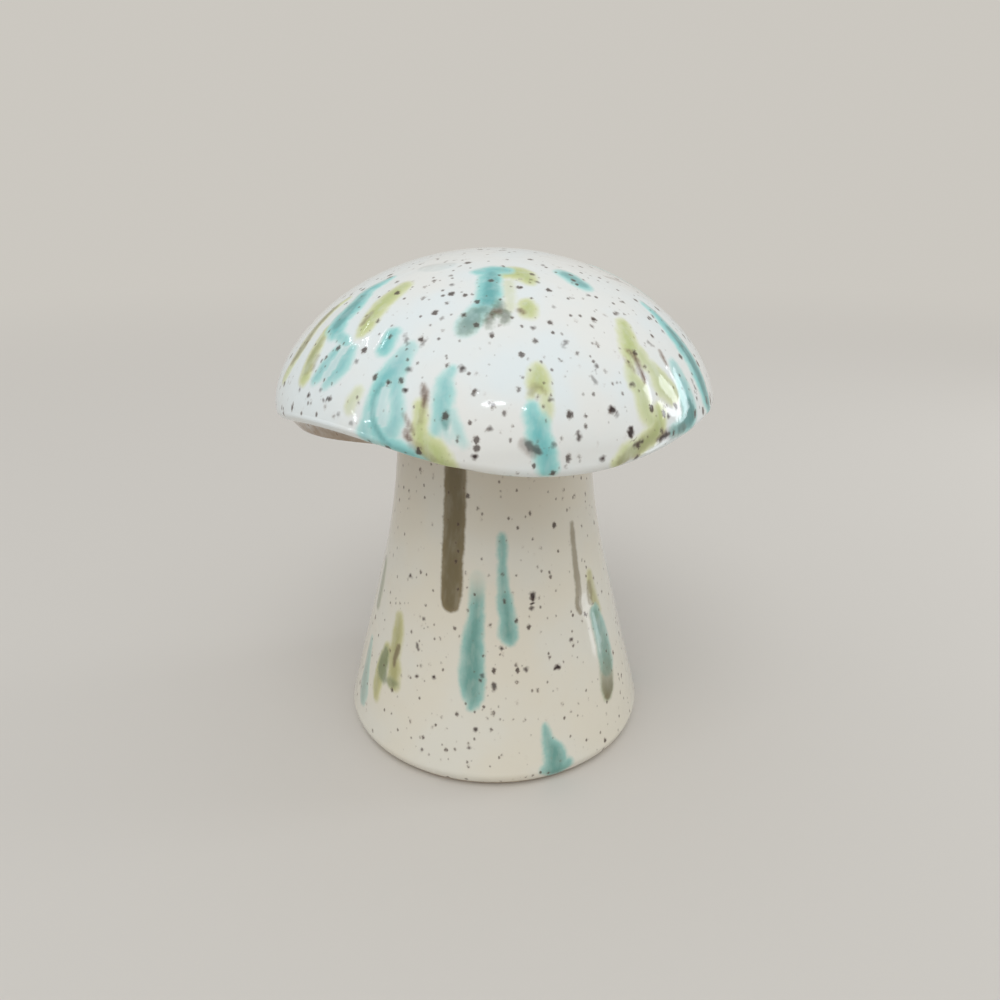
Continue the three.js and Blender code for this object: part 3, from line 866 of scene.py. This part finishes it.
# the stem's whites are the cap's white glaze made darker and warmer: painted shade under the cap and a
# painted warm reflection
stemGlaze = buildGlaze("stemGlaze", srgb(220, 216, 203), srgb(221, 214, 197), stemTints, stemSpecks)
plainTree = buildTurnTree("Turned ware")
stem = turnPiece("mushroomStem", stemProfile(), plainTree, wareValues(stemForm, stemGlaze))
raiseRuns(stem, layRuns(stem, stemRuns, stemPoint), stemForm["relief"])
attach(stem, "root")
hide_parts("stem")
print("stem glazed:", sum(len(paths) for paths in stemRuns.values()), "runs and spots")


# Slip ring at the neck

slipForm = {
    "innerRadius": 17.3, "neckRadius": 22.75, "bottom": 74.3, "top": 75.5, "bead": 0.9,
    "columns": 240, "beadRows": 12, "unevenness": 0.5, "unevenScale": 120.0, "seed": 5.0,
}
slipLook = {  # a noise is its scale for a metre and its detail
    "light": srgb(220, 210, 188), "dark": srgb(198, 182, 152), "patch": (220.0, 3.0),
    "patchSpan": (0.35, 0.65), "grain": (1800.0, 4.0), "rough": (0.35, 0.65), "bump": 0.4, "bumpHeight": 0.1,
}


def slipProfile():
    form = slipForm
    bead = [(form["neckRadius"] + form["bead"] * math.sin(share * math.pi),
             mix(form["bottom"], form["top"], share), math.cos(share * math.pi) ** 2)
            for share in shares(form["beadRows"])]
    inner = [(form["innerRadius"], form["top"], 1), (form["innerRadius"], form["bottom"], 1)]
    return bead + inner + bead[:1]


def buildSlip(name):
    look = slipLook
    material = newMaterial(name)
    tree = material.node_tree
    coords = addNode(tree, "ShaderNodeTexCoord").outputs["Object"]
    grain = noise(tree, coords, *look["grain"])["Fac"]
    patch = smoothShare(tree, noise(tree, coords, *look["patch"])["Fac"], *look["patchSpan"])
    bump = addNode(tree, "ShaderNodeBump", {
        "Strength": look["bump"], "Distance": look["bumpHeight"] * mm, "Height": grain,
    })
    shader = addNode(tree, "ShaderNodeBsdfPrincipled", {
        "Base Color": tintOver(tree, look["light"], look["dark"], patch),
        "Roughness": blendValue(tree, grain, *look["rough"]), "Normal": bump.outputs[0],
    })
    addNode(tree, "ShaderNodeOutputMaterial", {"Surface": shader.outputs[0]})
    return material


slip = turnPiece("neckSlip", slipProfile(), plainTree, wareValues(slipForm, buildSlip("neckSlip")))
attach(slip, "root")
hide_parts("neck_slip")
print("neck slip made")


# Stage: floor, lamps, world and camera. Lengths are in metres.

stageForm = {
    "floorRadius": 4.0, "floorCorners": 64, "floorTone": (0.64, 0.605, 0.555, 1), "floorRough": 0.7,
    "fadeSpan": (0.25, 1.3), "backTone": (0.6, 0.575, 0.53, 1),
    "skyTone": (0.96, 0.98, 1.0, 1), "skyLow": 0.22, "skyHigh": 0.82, "skyFrom": (-0.08, -0.46, 0.88),
    "skySpan": (-0.4, 1.0), "glintTone": (0.89, 0.95, 1.0),
}


def buildFloor():
    material = newMaterial("paleFloor")
    tree = material.node_tree
    coords = addNode(tree, "ShaderNodeTexCoord").outputs["Object"]
    away = smoothShare(tree, vectorLength(tree, coords), *stageForm["fadeSpan"])
    fade = calc(tree, "MULTIPLY", seenShare(tree), away)
    matte = addNode(tree, "ShaderNodeBsdfPrincipled", {
        "Base Color": stageForm["floorTone"], "Roughness": stageForm["floorRough"],
    })
    glow = addNode(tree, "ShaderNodeEmission", {"Color": stageForm["backTone"], "Strength": 1.0})
    blend = addNode(tree, "ShaderNodeMixShader", {0: fade, 1: matte.outputs[0], 2: glow.outputs[0]})
    addNode(tree, "ShaderNodeOutputMaterial", {"Surface": blend.outputs[0]})
    return material


rimPoints = [turnedPoint(stageForm["floorRadius"], 90 + 360 * share, 0)
             for share in shares(stageForm["floorCorners"])[:-1]]
floorMesh = bpy.data.meshes.new("paleFloor")
floorMesh.from_pydata(rimPoints, [], [tuple(range(len(rimPoints)))])
floorMesh.materials.append(buildFloor())
floor = bpy.data.objects.new("paleFloor", floorMesh)
scene.collection.objects.link(floor)

# the sky is brightest above the front, and what is seen of it is an even backdrop
world = bpy.data.worlds.new("studio")
world.use_nodes = True
scene.world = world
worldTree = world.node_tree
worldTree.nodes.clear()
heading = addNode(worldTree, "ShaderNodeTexCoord").outputs["Generated"]
facing = addNode(worldTree, "ShaderNodeVectorMath", {0: heading, 1: stageForm["skyFrom"]},
                 operation="DOT_PRODUCT").outputs["Value"]
skyShare = smoothShare(worldTree, facing, *stageForm["skySpan"])
ambient = addNode(worldTree, "ShaderNodeBackground", {
    "Color": stageForm["skyTone"],
    "Strength": blendValue(worldTree, skyShare, stageForm["skyLow"], stageForm["skyHigh"]),
})
backdrop = addNode(worldTree, "ShaderNodeBackground", {"Color": stageForm["backTone"], "Strength": 1.0})
worldMix = addNode(worldTree, "ShaderNodeMixShader", {
    0: seenShare(worldTree), 1: ambient.outputs[0], 2: backdrop.outputs[0],
})
addNode(worldTree, "ShaderNodeOutputWorld", {"Surface": worldMix.outputs[0]})


def addLamp(name, kind, place, target, **settings):
    lamp = bpy.data.lights.new(name, kind)
    for word, value in settings.items():
        setattr(lamp, word, value)
    holder = bpy.data.objects.new(name, lamp)
    holder.location = place
    holder.rotation_euler = (Vector(target) - Vector(place)).to_track_quat("-Z", "Y").to_euler()
    scene.collection.objects.link(holder)
    return holder


sunForm = {"energy": 0.85, "angle": math.radians(50), "color": (0.98, 0.99, 1.0)}
sunPlace = (-0.1, -0.7, 1.2)
sunTarget = (0, 0, 0.06)
overhead = addLamp("overhead", "SUN", sunPlace, sunTarget, **sunForm)
overhead.visible_glossy = False

# small lamps that the glaze mirrors
glintLamps = [  # name, place, target, width, height, watts
    ("rightWindow", (0.58, 0.115, 0.23), (0.03, -0.03, 0.08), 0.15, 0.25, 0.52),
    ("frontStrip", (0.0, -0.48, 0.52), (0, -0.04, 0.09), 0.1, 0.025, 0.12),
    ("leftStrip", (-0.33, 0.15, 0.445), (-0.026, -0.031, 0.098), 0.12, 0.006, 0.03),
    ("leftDash", (-0.48, -0.21, 0.217), (-0.024, -0.041, 0.086), 0.07, 0.006, 0.05),
    ("sideCard", (0.175, -0.006, 0.003), (0.175, -0.006, 1.0), 0.13, 0.022, 0.018),
]
for name, place, target, width, height, watts in glintLamps:
    glint = addLamp(name, "AREA", place, target, shape="RECTANGLE", size=width, size_y=height, energy=watts,
                    color=stageForm["glintTone"])
    glint.visible_camera = False

cameraForm = {"lens": 27.0, "sensor_width": 36.0, "shift_x": 0.0057, "clip_start": 0.01}
cameraPlace = (0.0, -0.170, 0.1203)
cameraPitch = 21.0
cameraData = bpy.data.cameras.new("camera")
for word, value in cameraForm.items():
    setattr(cameraData, word, value)
camera = bpy.data.objects.new("camera", cameraData)
camera.location = cameraPlace
camera.rotation_euler = (math.radians(90 - cameraPitch), 0, 0)
scene.collection.objects.link(camera)
scene.camera = camera
scene.view_settings.view_transform = "Standard"
print("stage set")
